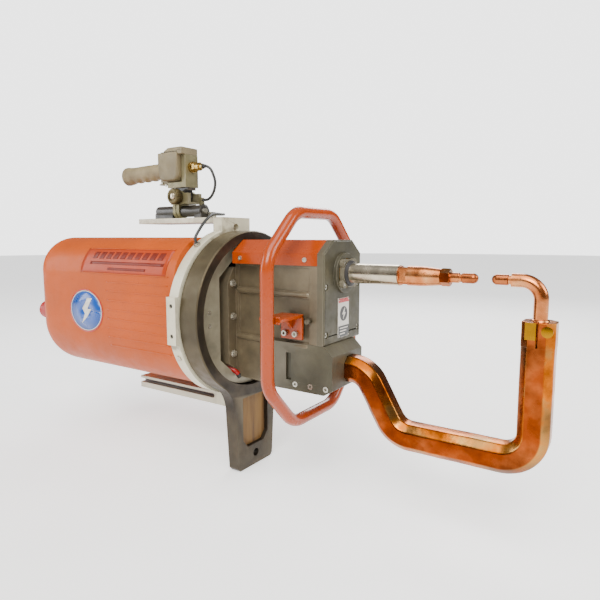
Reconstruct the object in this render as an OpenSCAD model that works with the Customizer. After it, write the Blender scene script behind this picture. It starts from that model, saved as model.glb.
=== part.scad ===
// Suspended spot welding gun with built-in transformer, C-frame lower arm and swivel hanger.
// Origin: centre of the hanger eye. +X points to the electrodes, +Y to the gun's left, +Z up.

/* [Layout] */
// Height of the swivel axis above the hanger eye
swivel_z = 285; // [280:1:295]
// Height of the electrode axis above the swivel axis
rod_z = 86; // [85:0.5:87]
// Gap between the electrode tips at rest
tip_gap = 19.3; // [19.3:0.1:24]

/* [Swivel ring] */
// Outer radius of the swivel ring
ring_r = 160; // [158:0.5:162]
// Radius where the ring meets the hub
race_r = 141; // [140.5:0.1:141.5]
// Radius of the hanger eye
eye_r = 8; // [6:0.5:9]
// Number of bearing balls
ball_count = 36; // [24:1:40]

/* [Rear cover] */
// Length of the straight part of the rear cover
cover_len = 404; // [400:1:420]
// Edge radius at the rear of the cover
cover_edge = 56; // [50:1:60]
// Wall of the rear cover
cover_wall = 4; // [3:0.5:5]

/* [Loop handle] */
// Tube radius of the loop handle
loop_r = 11; // [10:0.5:12]
// Bend radius of the loop handle
loop_bend = 56; // [50:1:60]

/* [Lower arm] */
// Width and height of the lower arm's bar
arm_w = 46; // [44:1:47]
// Corner chamfer of the bar
arm_cut = 11; // [9:0.5:12]
// Bend radius of the bar's centreline
arm_bend = 44; // [42:1:48]

/* [Electrodes] */
// Radius of the steel rod
rod_r = 17; // [16:0.5:17.5]
// Radius of the electrode caps
cap_r = 8; // [7.5:0.1:8.2]

/* [Hidden] */
$fn = 64;

// Places along X, from the hanger's mid-plane
ring_front = 12;
ring_back = -30;
plate_front = -32;
plate_back = -54;
hub_front = 0;
leg_split = -232;
neck_front = 4;
housing_front = 196;
face_front = 210;
tip_x = 440;
cover_end = plate_back - cover_len;
cover_rear = cover_end - cover_edge;
deck_top = 186;
loop_x = 150;
socket_y = -88;
socket_z = -26;
socket_r = 25;
arm_screw_z = -107;
joint_lap = 0.1;
ball_r = 5;
ball_x = -14;

// Lower arm route in the XZ plane, heights from the swivel axis
arm_route = [[140, -80], [258, -80], [315, -180], [528, -180], [528, 30]];
// Loop handle corners in the YZ plane, heights from the swivel axis
loop_route = [[60, 190], [141, 115], [141, -99], [68, -175],
  [-68, -175], [-141, -99], [-141, 115], [-60, 190]];

// Handle places
barrel_z = 201.5;
knob_x = -171;
knob_z = 231;
grip_z = 289;

// Control cable routes: handle to yoke, yoke to deck, deck to flange
cable_r = 2.8;
tilt_route = [[-118, 0, 291], [-110, 0, 291], [-99, 1, 285], [-93, 3, 273], [-91, 6, 259],
  [-96, 9, 245], [-107, 13, 233], [-120, 16, 226], [-130, 17, 225], [-137, 17, 225]];
swing_route = [[-137, 17, 214], [-133, 17, 214], [-128, 17.5, 211.5], [-125, 18, 206.5],
  [-123, 18, 201], [-120.5, 17.5, 196.5], [-117.5, 17, 195], [-115, 17, 195]];
fixed_route = [[-111, 26, 195], [-111, 29, 195], [-109, 33.5, 195], [-104.5, 36.5, 195], [-99, 37, 195],
  [-94, 34, 195], [-90, 27, 194.5], [-84, 12, 194], [-76, -6, 194], [-67, -24, 193], [-58, -42, 190],
  [-51, -60, 183], [-46, -78, 172], [-43, -93, 159], [-43, -102, 146], [-43, -99, 136]];

// ---------- helpers ----------

module at_swivel() translate([0, 0, swivel_z]) children();

// A cylinder along X
module bar_x(x0, x1, r, y = 0, z = 0) {
  translate([x0, y, z]) rotate([0, 90, 0]) cylinder(h = x1 - x0, r = r);
}

// A cylinder along Y
module bar_y(y0, y1, r, x = 0, z = 0) {
  translate([x, y1, z]) rotate([90, 0, 0]) cylinder(h = y1 - y0, r = r);
}

// A flat shape drawn in the YZ plane and pushed along X
module sheet_x(x0, x1) translate([x0, 0, 0]) rotate([90, 0, 90]) linear_extrude(x1 - x0) children();

// A box from its low corner to its high corner
module block(lo, hi) translate(lo) cube(hi - lo);

// A box centred on Y
module beam(x0, x1, half_y, z0, z1) block([x0, -half_y, z0], [x1, half_y, z1]);

// A ring turned about X from a profile of [radius, x]
module turned_x(profile) rotate([0, 90, 0]) rotate_extrude() polygon(profile);

function unit2(v) = v / norm(v);
function turn_of(a, b, c) = let (u = unit2(b - a), v = unit2(c - b))
  atan2(u[0] * v[1] - u[1] * v[0], u[0] * v[0] + u[1] * v[1]);
function trim_of(a, b, c, r) = r * tan(abs(turn_of(a, b, c)) / 2);

// One straight length of a bent bar in the XZ plane
module bar_run(p, q) {
  d = q - p;
  translate([p[0], 0, p[1]]) rotate([0, -atan2(d[1], d[0]), 0])
    sheet_x(-joint_lap, norm(d) + joint_lap) children();
}

// One bend of a bent bar in the XZ plane
module bar_corner(a, b, c, r) {
  u = unit2(b - a);
  turn = turn_of(a, b, c);
  side = sign(turn);
  start = b - u * trim_of(a, b, c, r);
  centre = start + side * r * [-u[1], u[0]];
  from = start - centre;
  first = atan2(from[1], from[0]);
  translate([centre[0], 0, centre[1]]) rotate([90, 0, 0])
    rotate([0, 0, side > 0 ? first : first + turn])
    rotate_extrude(angle = abs(turn)) translate([r, 0]) rotate(90) children();
}

// A bar bent along an open route
module bent_bar(route, r) {
  last = len(route) - 1;
  cut = [for (i = [0:last]) i == 0 || i == last ? 0 : trim_of(route[i - 1], route[i], route[i + 1], r)];
  for (i = [0:last - 1]) {
    u = unit2(route[i + 1] - route[i]);
    bar_run(route[i] + u * cut[i], route[i + 1] - u * cut[i + 1]) arm_section(0);
  }
  for (i = [1:last - 1]) {
    bar_corner(route[i - 1], route[i], route[i + 1], r) arm_section(joint_lap / 4);
  }
}

// A round tube bent around a closed route, a hair fatter in its bends
module closed_tube(route, bend, r) {
  n = len(route);
  cut = [for (i = [0:n - 1]) trim_of(route[(i + n - 1) % n], route[i], route[(i + 1) % n], bend)];
  for (i = [0:n - 1]) {
    j = (i + 1) % n;
    u = unit2(route[j] - route[i]);
    bar_run(route[i] + u * cut[i], route[j] - u * cut[j]) circle(r = r);
    bar_corner(route[(i + n - 1) % n], route[i], route[j], bend) circle(r = r + joint_lap / 4);
  }
}

// A round tube swept along a route by one polyhedron
function way(route, i) = let (n = len(route))
  i == 0 ? route[1] - route[0] : i == n - 1 ? route[n - 1] - route[n - 2] : route[i + 1] - route[i - 1];
function side_of(d) = let (s = cross(d, [0, 0, 1])) norm(s) < 0.01 ? [1, 0, 0] : s / norm(s);
module swept_tube(route, r) {
  sides = 8;
  n = len(route);
  points = [for (i = [0:n - 1])
    let (d = way(route, i) / norm(way(route, i)), a = side_of(d), b = cross(d, a))
    for (k = [0:sides - 1]) route[i] + r * (a * cos(k * 360 / sides) + b * sin(k * 360 / sides))];
  walls = [for (i = [0:n - 2], k = [0:sides - 1], half = [0, 1])
    let (a = i * sides + k, b = i * sides + (k + 1) % sides)
    half == 0 ? [a, b, b + sides] : [a, b + sides, a + sides]];
  ends = [[for (k = [sides - 1:-1:0]) k], [for (k = [0:sides - 1]) (n - 1) * sides + k]];
  polyhedron(points = points, faces = concat(walls, ends), convexity = 4);
}

// A socket-head screw whose head top is at the origin and whose shank runs along -Z
module cap_screw(size, length) {
  difference() {
    union() {
      translate([0, 0, -size]) cylinder(h = size, d = size * 1.65, $fn = 40);
      translate([0, 0, -size - length]) cylinder(h = length, d = size, $fn = 40);
    }
    translate([0, 0, -size * 0.6]) cylinder(h = size, d = size * 0.95, $fn = 6);
  }
}

module screw_minus_x(x, y, z, size, length) translate([x, y, z]) rotate([0, 90, 0]) cap_screw(size, length);
module screw_plus_y(x, y, z, size, length) translate([x, y, z]) rotate([90, 0, 0]) cap_screw(size, length);
module screw_minus_y(x, y, z, size, length) translate([x, y, z]) rotate([-90, 0, 0]) cap_screw(size, length);

// ---------- hanger ----------

module leg_outline() {
  fillet = 70;
  edge_y = 62;
  fillet_z = -sqrt((ring_r + fillet) ^ 2 - (edge_y + fillet) ^ 2);
  touch = (edge_y + fillet) * ring_r / (ring_r + fillet);
  touch_z = fillet_z * ring_r / (ring_r + fillet);
  difference() {
    polygon([[-touch, touch_z], [touch, touch_z], [edge_y, fillet_z], [54, -303], [48, -309],
      [-48, -309], [-54, -303], [-edge_y, fillet_z]]);
    circle(r = ring_r - 9);
    for (s = [-1, 1]) translate([s * (edge_y + fillet), fillet_z]) circle(r = fillet);
  }
}

module pocket_outline(gap = 0) {
  polygon([[-39 + gap, -164 - gap], [39 - gap, -164 - gap], [39 - gap, -250 + gap], [25 - gap, -266 + gap],
    [-25 + gap, -266 + gap], [-39 + gap, -250 + gap]]);
}

// The ring and the flared top of its leg
module hanger_ring() color("#3f3a33") at_swivel() difference() {
  union() {
    turned_x([[race_r + 0.5, ring_back], [ring_r - 2, ring_back], [ring_r, ring_back + 2],
      [ring_r, ring_front - 2], [ring_r - 2, ring_front], [race_r + 0.5, ring_front]]);
    sheet_x(-12, ring_front) leg_outline();
  }
  rotate([0, 90, 0]) rotate_extrude() translate([race_r, ball_x]) circle(r = ball_r + 0.15);
  sheet_x(2, ring_front + 1) pocket_outline();
  beam(-13, 13, 70, -320, leg_split);
}

// The straight foot of the leg, with the hanger eye
module hanger_leg() color("#3f3a33") at_swivel() difference() {
  sheet_x(-12, ring_front) leg_outline();
  sheet_x(2, ring_front + 1) pocket_outline();
  bar_x(-13, 13, eye_r, 0, -swivel_z);
  beam(-13, 13, 170, leg_split, 0);
}

module pocket_pad() color("#a08255") at_swivel() sheet_x(2, 4) pocket_outline(0.4);

module bearing_balls() color("silver") at_swivel() for (i = [0:ball_count - 1])
  rotate([i * 360 / ball_count, 0, 0]) translate([ball_x, 0, race_r]) sphere(r = ball_r);

// ---------- swivel hub and flange ----------

module hub_window() polygon([[87, -80], [87, 74], [27, 122], [-27, 122], [-87, 74], [-87, -80],
  [-47, -114], [47, -114]]);

module hub_plate() color("#8f887a") at_swivel() difference() {
  turned_x([[0, plate_front], [race_r - 0.5, plate_front], [race_r - 0.5, hub_front - 1.5],
    [race_r - 2, hub_front], [0, hub_front]]);
  rotate([0, 90, 0]) rotate_extrude() translate([race_r, ball_x]) circle(r = ball_r + 0.15);
  sheet_x(plate_front - 1, hub_front + 1) hub_window();
  for (s = [-1, 1], z = [-12.5, 12.5]) {
    bar_x(-6, 1, 4.5, s * 114, z);
    bar_x(-14, -5, 2.7, s * 114, z);
  }
}

module hub_screws() color("#77736a") at_swivel() for (s = [-1, 1], z = [-12.5, 12.5])
  screw_minus_x(-0.5, s * 114, z, 5, 7);

module flange_outline() {
  circle(r = 164, $fn = 128);
  translate([-42, -deck_top]) square([84, 2 * deck_top]);
  translate([-166, -43]) square([332, 86]);
}

module flange_plate() color("#ddd9c4") at_swivel() difference() {
  sheet_x(plate_back, plate_front) flange_outline();
  bar_x(plate_back - 1, plate_front + 1, 8, 0, 166);
  bar_x(plate_back - 1, plate_front + 1, 36.5, 0, rod_z);
  beam(plate_back - 1, plate_front + 1, 62, -96, 24);
  for (s = [-1, 1], z = [-27, 27]) bar_y(s > 0 ? 140 : -167, s > 0 ? 167 : -140, 4, -43, z);
}

module flange_glands() color("#b9b6ab") at_swivel() {
  rim_gland(-43, 36);
  rotate([115, 0, 0]) translate([-43, 0, 164.05]) cylinder(h = 3, r = 5.5, $fn = 32);
}

// A small gland standing on the flange rim, at an angle from the top
module rim_gland(x, angle) rotate([angle, 0, 0]) translate([x, 0, 164.05]) difference() {
  union() {
    cylinder(h = 3, r = 7, $fn = 6);
    cylinder(h = 6, r = 5, $fn = 32);
  }
  translate([0, 0, -1]) cylinder(h = 8, r = cable_r + 0.3, $fn = 32);
}

module top_plate() color("#ddd9c4") at_swivel() difference() {
  beam(-270, plate_back, 42, deck_top - 10.5, deck_top);
  for (x = [-245, -125], s = [-1, 1]) translate([x, s * 30, deck_top - 11]) cylinder(h = 12, r = 3.3);
}

module bottom_rail() color("#d6d2bf") at_swivel() difference() {
  beam(-282, plate_back, 42, -deck_top, -160);
  for (s = [-1, 1]) rail_slot(s);
  for (x = [-250, -90]) translate([x, 0, -deck_top - 1]) cylinder(h = 28, r = 5.5);
}

// The long slot in one side of the rail, round at its front end
module rail_slot(s) {
  low_y = s > 0 ? 30 : -43;
  block([-283, low_y, -174], [-64, low_y + 13, -165]);
  bar_y(low_y, low_y + 13, 4.5, -64, -169.5);
}

// ---------- rear cover and transformer ----------

// Rounded-square outline of the cover, drawn smaller by an inset
module cover_outline(inset = 0) hull() for (s = [-1, 1]) {
  translate([s * 70, 72]) circle(r = 75 - inset, $fn = 48);
  translate([s * 42, -39]) circle(r = 103 - inset, $fn = 64);
}

module cover_solid(inset, front) hull() {
  steps = 5;
  edge = cover_edge - inset;
  sheet_x(front - 1, front) cover_outline(inset);
  for (k = [0:steps]) translate([cover_end - edge * sin(k * 90 / steps), 0, 0]) sheet_x(0, 0.5)
    cover_outline(inset + edge * (1 - cos(k * 90 / steps)));
}

module rear_cover() color("#de6c3e") at_swivel() difference() {
  cover_solid(0, plate_back);
  cover_solid(cover_wall, plate_back - 3);
  bar_x(plate_back - 5, plate_back + 1, 150);
  bar_x(cover_rear - 1, cover_end + 20, socket_r + 0.3, socket_y, socket_z);
}

module rear_socket() color("#c4452e") at_swivel() difference() {
  union() {
    bar_x(cover_rear - 14, cover_rear + 40, socket_r, socket_y, socket_z);
    translate([cover_rear - 30, socket_y, socket_z]) rotate([0, 90, 0]) cylinder(h = 16, r = 24, $fn = 8);
    bar_x(cover_rear - 46, cover_rear - 30, 21, socket_y, socket_z);
  }
  bar_x(cover_rear - 47, cover_rear + 20, 16, socket_y, socket_z);
}

module transformer_core() color("#5c5f63") at_swivel() difference() {
  union() {
    beam(-420, -120, 80, -126, 34);
    for (side = [-78, 66], z = [-124, 14]) block([-121, side, z], [plate_back, side + 12, z + 14]);
  }
  for (z = [-76, -16]) beam(-385, -155, 81, z - 20, z + 20);
}

module primary_coils() color("#8a4b24") at_swivel() for (z = [-76, -16]) difference() {
  beam(-384.5, -155.5, 106, z - 19.5, z + 19.5);
  beam(-330, -210, 107, z - 8, z + 8);
}

// One secondary turn: a slab through a coil, a side plate and a cross piece behind the flange
module secondary_turn(s, z) {
  beam(-329.5, -210.5, 112, z - 7.5, z + 7.5);
  block([-329.5, s > 0 ? 106.5 : -118, z - 7.5], [-100, s > 0 ? 118 : -106.5, z + 7.5]);
  block([-117, s > 0 ? -22 : -118, z - 7.5], [-100, s > 0 ? 118 : 22, z + 7.5]);
}

module secondary_bars() color("#b8703a") at_swivel() {
  secondary_turn(1, -76);
  secondary_turn(-1, -16);
}

// Two copper buses that carry the current forward through the hub
module copper_buses() color("#b8703a") at_swivel() {
  beam(-99.9, 118, 22, -88, -68);
  beam(118, 139.9, 22, -98, -60);
  beam(-99.9, 81.9, 22, -24, -8);
  beam(70, 81.9, 22, -8, 32);
}

// ---------- cylinder ----------

module cylinder_barrel() color("#a9acb0") at_swivel() translate([0, 0, rod_z]) difference() {
  bar_x(-196, -70, 39);
  bar_x(-197, -69, 34);
}

module cylinder_heads() color("#8f9296") at_swivel() translate([0, 0, rod_z]) difference() {
  union() {
    bar_x(-70, plate_back, 44);
    bar_x(-212, -196, 44);
  }
  bar_x(-71, plate_back + 1, rod_r + 0.05);
}

module tie_rods() color("#77797c") at_swivel() translate([0, 0, rod_z]) for (a = [45:90:315])
  rotate([a, 0, 0]) bar_x(-195.9, -70.1, 2.5, 0, 41.6);

module piston() color("#9b9da0") at_swivel() translate([0, 0, rod_z]) difference() {
  bar_x(-114, -90, 33.6);
  for (x = [-108, -99]) turned_x([[30, x], [34, x], [34, x + 3], [30, x + 3]]);
}

module piston_seals() color("#1d1d1f") at_swivel() translate([0, 0, rod_z])
  for (x = [-108, -99]) turned_x([[30.1, x + 0.1], [33.9, x + 0.1], [33.9, x + 2.9], [30.1, x + 2.9]]);

// ---------- front housing ----------

module housing_plan(inset = 0) polygon([[neck_front, 46 - inset], [120, 58 - inset], [housing_front, 64 - inset],
  [housing_front, -64 + inset], [120, -58 + inset], [neck_front, -46 + inset]]);

// The sunk panels that leave ribs standing on the side walls
module housing_side_ribs() for (s = [-1, 1]) {
  panel_cut(s, -32, 44);
  panel_cut(s, 56, 96);
}

// A shallow panel sunk into the tapered side wall
module panel_cut(s, z0, z1) translate([0, 0, z0]) linear_extrude(z1 - z0)
  polygon([[12, s * 43.5], [120, s * 55], [180, s * 60], [180, s * 80], [12, s * 80]]);

module body_housing() color("#776f60") at_swivel() difference() {
  union() {
    translate([0, 0, -117]) linear_extrude(217) housing_plan();
    sheet_x(plate_front, neck_front) polygon([[68, -90], [68, 64], [52, 92], [-52, 92], [-68, 64], [-68, -90],
      [-44, -108], [44, -108]]);
  }
  housing_side_ribs();
  translate([0, 0, -34]) linear_extrude(200) polygon([[neck_front - 50, 30], [20, 38], [120, 49],
    [housing_front + 1, 55], [housing_front + 1, -55], [120, -49], [20, -38], [neck_front - 50, -30]]);
  beam(plate_front - 1, neck_front + 20, 38, 20, 140);
  beam(plate_front - 1, 119, 26, -94, -34.5);
  beam(106, housing_front + 1, 70, -118, -34);
}

module housing_bolts() color("#b5afa2") at_swivel() for (s = [-1, 1], z = [-72, 0, 62])
  translate([neck_front, s * 55, z]) rotate([0, 90, 0]) {
    cylinder(h = 5, r = 5.5, $fn = 6);
    cylinder(h = 1, r = 7);
  }

// Outline of the front face above the arm block
module face_outline(inset = 0) polygon([[-65 + inset, -34 + inset], [65 - inset, -34 + inset],
  [65 - inset, 120 - inset / 2], [34 - inset / 2, 143 - inset], [-34 + inset / 2, 143 - inset],
  [-65 + inset, 120 - inset / 2]]);

module front_plate() color("#69695a") at_swivel() difference() {
  union() {
    sheet_x(housing_front, face_front - 2) face_outline();
    sheet_x(face_front - 2, face_front) face_outline(2);
    bar_x(face_front, face_front + 6, 35, 0, rod_z);
  }
  bar_x(housing_front - 1, face_front + 7, 25, 0, rod_z);
  for (s = [-1, 1], z = [-16, 65]) {
    bar_x(face_front - 7, face_front + 1, 5.2, s * 56, z);
    bar_x(housing_front - 1, face_front - 6, 2.7, s * 56, z);
  }
}

module front_screws() color("#45433d") at_swivel() for (s = [-1, 1], z = [-16, 65])
  screw_minus_x(face_front - 2, s * 56, z, 5, 6);

module top_cover_outline(inset = 0) polygon([[-65 + inset, 100], [-65 + inset, 120 - inset / 2],
  [-34 + inset / 2, 143 - inset], [34 - inset / 2, 143 - inset], [65 - inset, 120 - inset / 2], [65 - inset, 100]]);

module top_cover() color("#de6c3e") at_swivel() difference() {
  sheet_x(ring_front + 1, housing_front) top_cover_outline();
  sheet_x(ring_front, housing_front + 1) top_cover_outline(3);
}

module cover_screws() color("#b5afa2") at_swivel() for (s = [-1, 1], x = [32, 172])
  translate([x, s * 65, 110]) rotate([s * -90, 0, 0]) difference() {
    cylinder(h = 2, r = 4);
    translate([0, 0, 1]) cylinder(h = 2, d = 4, $fn = 6);
  }

module arm_block() color("#6c6a5b") at_swivel() difference() {
  union() {
    block([106, -64, -118], [housing_front + 14, 42, -34]);
    translate([0, 42, 0]) rotate([90, 0, 0]) linear_extrude(106)
      polygon([[face_front, -34], [226, -50], [226, -108], [face_front, -118]]);
  }
  bent_root();
  block([105, -23, -98.5], [140.1, 23, -59.5]);
  block([132, -65, -100], [143, -60, -52]);
  for (x = [151, 182, 213]) {
    bar_y(-65, -57.5, 5.4, x, arm_screw_z);
    bar_y(-58, -50, 3.2, x, arm_screw_z);
  }
}

// The straight root of the arm, which the block clamps
module bent_root() sheet_x(139.8, 240) translate([0, -80]) arm_section(0.05);

module arm_section(grow = 0) {
  h = arm_w / 2 + grow;
  c = arm_cut;
  polygon([[-h, -h + c], [-h + c, -h], [h - c, -h], [h, -h + c],
    [h, h - c], [h - c, h], [-h + c, h], [-h, h - c]]);
}

// Seven like screws: three in the arm block and four in the loop's brackets
module side_screws() color("#b5afa2") at_swivel() {
  for (x = [151, 182, 213]) screw_plus_y(x, -63.7, arm_screw_z, 6, 6);
  for (x = [136, 158]) {
    screw_plus_y(x, -76.3, -16, 6, 6);
    screw_minus_y(x, 76.3, -16, 6, 6);
  }
}

// ---------- lower electrode ----------

module lower_arm() color("#c66b3d") at_swivel() difference() {
  bent_bar(arm_route, arm_bend);
  translate([528, 0, -30]) cylinder(h = 61, r = 10);
  block([527, -24, -6], [529, 0, 31]);
  bar_y(-24, 24, 3, 541, 18);
  bar_y(-24, -17.95, 5, 541, 18);
}

module arm_clamp_screw() color("#c9b98f") at_swivel() screw_plus_y(541, -24, 18, 6, 40);

module lower_holder() color("#c66b3d") at_swivel() {
  bend = 27;
  cap_x = tip_x + tip_gap + 24;
  translate([528, 0, -25]) cylinder(h = rod_z - bend + 25, r = 10);
  translate([528 - bend, 0, rod_z - bend]) rotate([90, 0, 0]) rotate_extrude(angle = 90)
    translate([bend, 0]) circle(r = 10);
  bar_x(cap_x + 4, 528 - bend, 10, 0, rod_z);
  bar_x(cap_x, cap_x + 4, 6.5, 0, rod_z);
}

// An electrode cap of the domed sort, tip at the origin, body along +Z
module electrode_cap() rotate_extrude() polygon(concat(
  [for (a = [0:10:80]) [cap_r * sin(a), cap_r - cap_r * cos(a)]],
  [[cap_r, cap_r], [cap_r, 23], [cap_r - 1, 24], [0, 24]]));

module lower_cap() color("#c0714a") at_swivel() translate([tip_x + tip_gap, 0, rod_z]) rotate([0, 90, 0])
  electrode_cap();

// ---------- upper electrode ----------

module rod_flange() color("#6d6a5e") at_swivel() translate([0, 0, rod_z]) difference() {
  union() {
    bar_x(216, 224, 24);
    for (a = [45:90:315]) rotate([a, 0, 0]) bar_x(216, 223, 8, 0, 24);
  }
  bar_x(215, 225, rod_r + 0.6);
  for (a = [45:90:315]) rotate([a, 0, 0]) {
    bar_x(219, 224, 3.6, 0, 24);
    bar_x(215, 220, 2.2, 0, 24);
  }
}

module rod_flange_screws() color("#b5afa2") at_swivel() translate([0, 0, rod_z]) for (a = [45:90:315])
  rotate([a, 0, 0]) screw_minus_x(223, 0, 24, 4, 2.8);

module rod_bush() color("#b08a3c") at_swivel() translate([0, 0, rod_z]) difference() {
  bar_x(182, 215.9, 24.9);
  bar_x(181, 217, rod_r + 0.05);
}

module rod_wiper() color("#1d1d1f") at_swivel() translate([0, 0, rod_z]) turned_x([[rod_r + 0.05, 224],
  [22, 224], [22, 226], [rod_r + 0.6, 228.5], [rod_r + 0.05, 228.5]]);

module weld_rod() color("#b9b9b4") at_swivel() translate([0, 0, rod_z]) bar_x(-90, 315.5, rod_r);

module shunt_clamp() color("#b8703a") at_swivel() difference() {
  beam(138, 158, 28, rod_z - 28, rod_z + 24);
  bar_x(137, 159, rod_r + 0.02, 0, rod_z);
}

// Laminated strap from the rod's clamp round to the upper bus
module flex_shunt() color("#c07a45") at_swivel() translate([0, 22, 0]) rotate([90, 0, 0]) linear_extrude(44)
  difference() {
    union() {
      translate([146, 8]) square([8, rod_z - 36]);
      translate([118, 8]) circle(r = 36);
      translate([82, 8]) square([8, 24]);
    }
    translate([118, 8]) circle(r = 28);
    translate([90, 8]) square([56, 60]);
  }

module upper_holder() color("#c66b3d") at_swivel() translate([0, 0, rod_z]) difference() {
  turned_x([[0, 315.5], [15.5, 315.5], [16, 317], [16, 352], [15.5, 360], [13, 384], [0, 384]]);
  for (s = [-1, 1]) {
    block([318, s > 0 ? 13.5 : -20, -20], [330, s > 0 ? 20 : -13.5, 20]);
    block([318, -20, s > 0 ? 13.5 : -20], [330, 20, s > 0 ? 20 : -13.5]);
  }
}

module upper_nut() color("#c9914e") at_swivel() translate([384, 0, rod_z]) rotate([0, 90, 0]) intersection() {
  cylinder(h = 14.4, r = 14, $fn = 6);
  rotate_extrude() polygon([[0, 0], [12.6, 0], [14, 1.4], [14, 13], [12.6, 14.4], [0, 14.4]]);
}

module upper_shank() color("#c66b3d") at_swivel() translate([0, 0, rod_z]) turned_x([[0, 398.4], [8, 398.4],
  [8, 411], [6.5, 412.5], [6.5, 416], [0, 416]]);

module upper_cap() color("#c0714a") at_swivel() translate([tip_x, 0, rod_z]) rotate([0, -90, 0]) electrode_cap();

// ---------- loop handle ----------

module loop_handle() color("#e15a23") at_swivel() {
  translate([loop_x, 0, 0]) rotate([0, 0, 90]) closed_tube(loop_route, loop_bend, loop_r);
  for (s = [-1, 1]) loop_bracket(s);
}

// Bent plate that carries the loop on one side of the housing
module loop_bracket(s) {
  low = s > 0 ? 64.3 : -132;
  high = s > 0 ? 132 : -64.3;
  difference() {
    union() {
      block([126, low, 12], [170, high, 18]);
      block([126, s > 0 ? 64.3 : -70.3, -26], [170, s > 0 ? 70.3 : -64.3, 18]);
    }
    for (x = [136, 158]) bar_y(s > 0 ? 64 : -71, s > 0 ? 71 : -64, 3.2, x, -16);
  }
}

// ---------- control handle ----------

module pivot_barrel() color("#2b2927") at_swivel() difference() {
  union() {
    bar_x(-250, -119, 12, 0, barrel_z);
    beam(-254, -200, 10, deck_top, barrel_z - 4);
    beam(-137, -116, 10, deck_top, barrel_z - 4);
  }
  bar_x(-255, -115, 5.05, 0, barrel_z);
  translate([0, 0, barrel_z]) turned_x([[11, -195], [14, -195], [14, -174], [11, -174]]);
}

module barrel_shaft() color("#c9c9c4") at_swivel() bar_x(-256, -112, 5, 0, barrel_z);

module yoke_block() color("#b9b294") at_swivel() difference() {
  union() {
    beam(-173, -143, 20, 216, 238);
    for (x = [-193.7, -183.7]) {
      bar_x(x, x + 8, 14.6, 0, barrel_z);
      beam(x, x + 8, 14.6, barrel_z, 219);
    }
    beam(-193.7, -160, 20, 215, 219.6);
    for (s = [-1, 1]) bar_y(s > 0 ? 12 : -20, s > 0 ? 20 : -12, 13, knob_x, knob_z);
    block([-143, 12, 210], [-137, 22, 230]);
  }
  bar_x(-195, -174, 11.1, 0, barrel_z);
  beam(-195, -142, 11.8, 219.6, 260);
  bar_y(-21, 21, 5.05, knob_x, knob_z);
}

module tilt_pin() color("#c9c9c4") at_swivel() bar_y(-30, 23, 5, knob_x, knob_z);

module clamp_knob() color("#97907c") at_swivel() difference() {
  union() {
    bar_y(-38, -22, 16.5, knob_x, knob_z);
    bar_y(-22, -20.3, 9, knob_x, knob_z);
  }
  bar_y(-30, -19, 5.05, knob_x, knob_z);
}

module tilt_lug() color("#3a3733") at_swivel() difference() {
  union() {
    bar_y(-11.5, 11.5, 11, knob_x, knob_z);
    beam(knob_x - 10, knob_x + 10, 11.5, knob_z, 250);
    beam(knob_x - 16, knob_x + 20, 11.5, 244.6, 250);
  }
  bar_y(-12, 12, 5.05, knob_x, knob_z);
}

module handle_bracket() color("#a79f86") at_swivel() {
  beam(-204, -150, 18, 250, 262);
  beam(-162, -150, 18, 262, 316);
}

module switch_box() color("#8f8772") at_swivel() difference() {
  union() {
    block([-219, -30, 277], [-162, 18, 322]);
    block([-207, -24, 262], [-162, 18, 277]);
    bar_x(-219, -162, 15, -15, 277);
    block([-200, -28, 322], [-152, 18, 331]);
    block([-162, -28, 316], [-150, 18, 331]);
    for (y = [-13, 2.3]) block([-232, y, 257.5], [-206, y + 3.5, 269.5]);
  }
  bar_y(-14, 7, 2, -224, 262);
}

module grip() color("#afa082") at_swivel() hull() {
  bar_x(-219.6, -219.1, 17, -4, 287);
  bar_x(-300, -299, 17, -4, 285);
  bar_x(-344, -343, 21, -4, 283);
  bar_x(-350, -349, 17, -4, 283);
}

module handle_gland() color("#caa45a") at_swivel() {
  bar_x(-150, -144, 11, 0, 291);
  translate([-144, 0, 291]) rotate([0, 90, 0]) cylinder(h = 9, r = 10.5, $fn = 6);
  bar_x(-135, -126, 8.5, 0, 291);
  bar_x(-126, -118, 5.5, 0, 291);
}

module trigger() color("#57534a") at_swivel() {
  block([-238, -9.2, 258], [-208, 2, 261]);
  block([-228, -9.2, 258], [-220, 2, 266]);
  bar_y(-12.9, 5.7, 1.95, -224, 262);
}

// ---------- control cable ----------

module cable_tilt() color("#3a3a38") at_swivel() swept_tube(tilt_route, cable_r);
module cable_swing() color("#3a3a38") at_swivel() swept_tube(swing_route, cable_r);
module cable_fixed() color("#3a3a38") at_swivel() swept_tube(fixed_route, cable_r);

module cable_elbow() color("#a5a196") at_swivel() {
  block([-115, 8, 190], [-107, 26, 199.6]);
  block([-119, 14, deck_top], [-103, 21, 190]);
}

hanger_ring();
hanger_leg();
pocket_pad();
bearing_balls();
hub_plate();
hub_screws();
flange_plate();
flange_glands();
top_plate();
bottom_rail();
rear_cover();
rear_socket();
transformer_core();
primary_coils();
secondary_bars();
copper_buses();
cylinder_barrel();
cylinder_heads();
tie_rods();
body_housing();
housing_bolts();
front_plate();
front_screws();
top_cover();
cover_screws();
arm_block();
side_screws();
lower_arm();
arm_clamp_screw();
lower_holder();
lower_cap();
rod_flange();
rod_flange_screws();
rod_bush();
rod_wiper();
flex_shunt();
weld_rod();
piston();
piston_seals();
shunt_clamp();
upper_holder();
upper_nut();
upper_shank();
upper_cap();
loop_handle();
pivot_barrel();
barrel_shaft();
cable_elbow();
cable_fixed();
cable_swing();
yoke_block();
tilt_pin();
clamp_knob();
tilt_lug();
handle_bracket();
switch_box();
grip();
handle_gland();
cable_tilt();
trigger();
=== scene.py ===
import math

import bmesh
import bpy
from mathutils import Matrix, Vector, noise


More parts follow.
